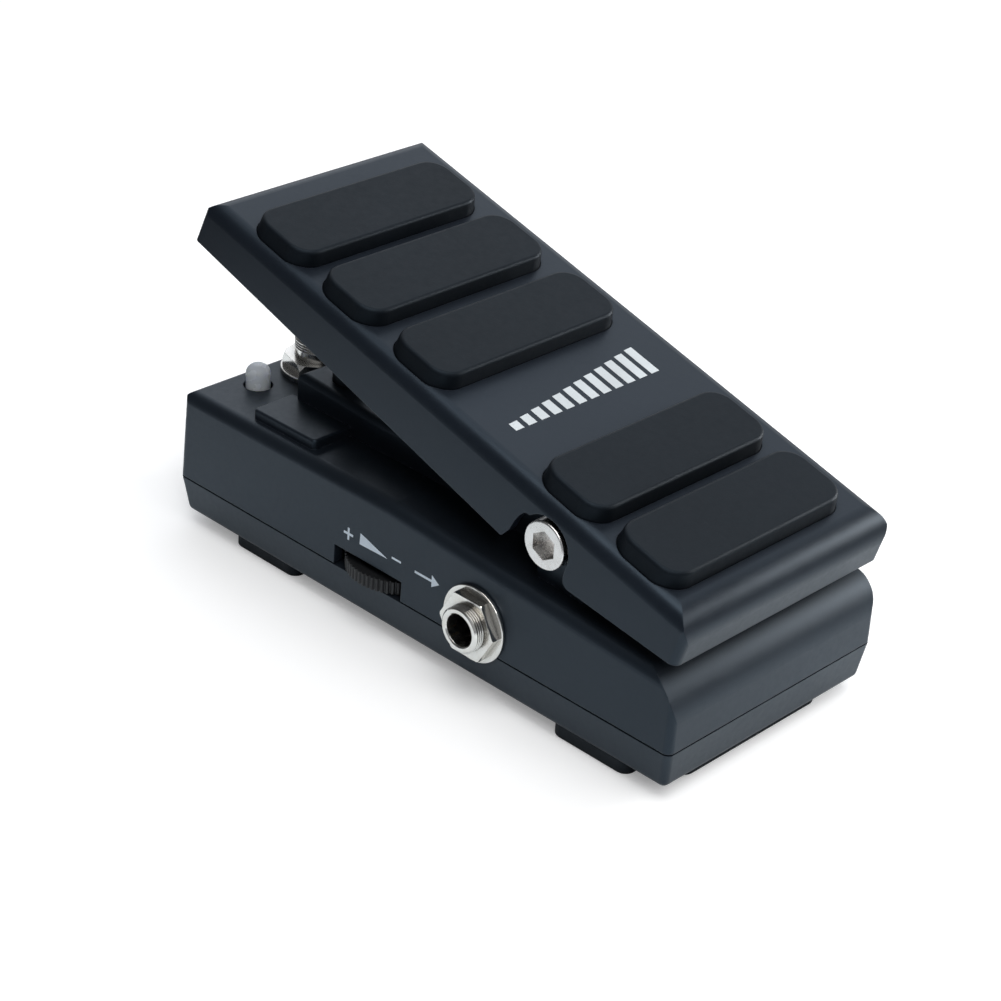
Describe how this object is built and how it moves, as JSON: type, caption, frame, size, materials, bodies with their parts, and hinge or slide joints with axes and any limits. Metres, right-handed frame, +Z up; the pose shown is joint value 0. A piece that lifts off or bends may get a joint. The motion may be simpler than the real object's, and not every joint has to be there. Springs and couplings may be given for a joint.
{
  "type": "volume pedal",
  "caption": "Small foot-operated volume pedal: a rocking treadle with rubber bars on a low metal case, with plug sockets, a toe switch, an indicator lamp and an edge thumbwheel.",
  "frame": {"origin": "centre of the pedal's footprint on the floor, at the underside of the rubber feet", "axes": "+Z up; +Y toward the toe end; +X to the player's right; the output socket is on the -X side"},
  "size_m": [0.0656, 0.1311, 0.0727],
  "materials": {
    "charcoal_paint": "satin powder coat, very dark blue-grey",
    "black_rubber": "matte moulded rubber",
    "bright_nickel": "bright nickel plating",
    "steel": "zinc-plated steel",
    "spring_brass": "plain brass",
    "black_plastic": "matte moulded plastic",
    "white_nylon": "natural nylon",
    "board_green": "solder mask over glass-fibre board",
    "can_aluminium": "sleeved aluminium can",
    "lamp_milky": "milky diffusing lens, unlit"
  },
  "bodies": {
    "base": {"upper_case": "charcoal_paint", "bottom_cover": "charcoal_paint", "cover_screws": "steel", "toe_foot": "black_rubber", "heel_foot": "black_rubber", "pivot_axle": "steel", "pivot_bolts": "bright_nickel", "heel_bumpers": "black_rubber", "toe_bumpers": "black_rubber", "pot_body": "steel", "pot_bushing": "steel", "pot_nut": "steel", "pot_leads": "spring_brass", "trimmer_body": "black_plastic", "circuit_board": "board_green", "board_screws": "steel", "buffer_chip": "black_plastic", "capacitors": "can_aluminium", "footswitch_body": "black_plastic", "footswitch_bushing": "bright_nickel", "footswitch_washer": "bright_nickel", "footswitch_nut": "bright_nickel", "footswitch_lugs": "spring_brass", "led_lens": "lamp_milky", "led_leads": "spring_brass", "output_sleeve": "bright_nickel", "output_washer": "bright_nickel", "output_nut": "bright_nickel", "output_body": "black_plastic", "output_contacts": "spring_brass", "input_sleeve": "bright_nickel", "input_washer": "bright_nickel", "input_nut": "bright_nickel", "input_body": "black_plastic", "input_contacts": "spring_brass", "power_socket": "black_plastic", "power_pin": "bright_nickel"},
    "rocker": {"treadle": "charcoal_paint", "tread_pad_1": "black_rubber", "tread_pad_2": "black_rubber", "tread_pad_3": "black_rubber", "tread_pad_4": "black_rubber", "tread_pad_5": "black_rubber", "pivot_bushings": "white_nylon", "striker_pad": "black_rubber", "sector_gear": "white_nylon", "sector_screws": "steel"},
    "volume_rotor": {"pot_shaft": "steel", "pot_pinion": "spring_brass"},
    "level_wheel": {"thumbwheel": "black_plastic", "thumbwheel_screw": "steel"},
    "switch_button": {"footswitch_plunger": "bright_nickel"}
  },
  "joints": [
    {"name": "treadle_hinge", "type": "hinge", "parent": "base", "child": "rocker", "pos_m": [0, -0.03328, 0.03809], "axis": [1, 0, 0], "range_deg": [-17, 0]},
    {"name": "volume_spin", "type": "hinge", "parent": "base", "child": "volume_rotor", "pos_m": [0, 0.00003, 0.02256], "axis": [1, 0, 0], "range_deg": [-1, 103]},
    {"name": "level_wheel_turn", "type": "hinge", "parent": "base", "child": "level_wheel", "pos_m": [-0.0193, 0.0101, 0.0123], "axis": [0, 0, 1], "range_deg": [-135, 135]},
    {"name": "footswitch_press", "type": "slide", "parent": "base", "child": "switch_button", "axis": [0, 0, -1], "range_m": [0, 0.0015], "stiffness_N_per_m": 400, "springref_m": -0.0005}
  ],
  "couplings": [
    {"joint": "volume_spin", "follows": "treadle_hinge", "ratio": -6}
  ]
}
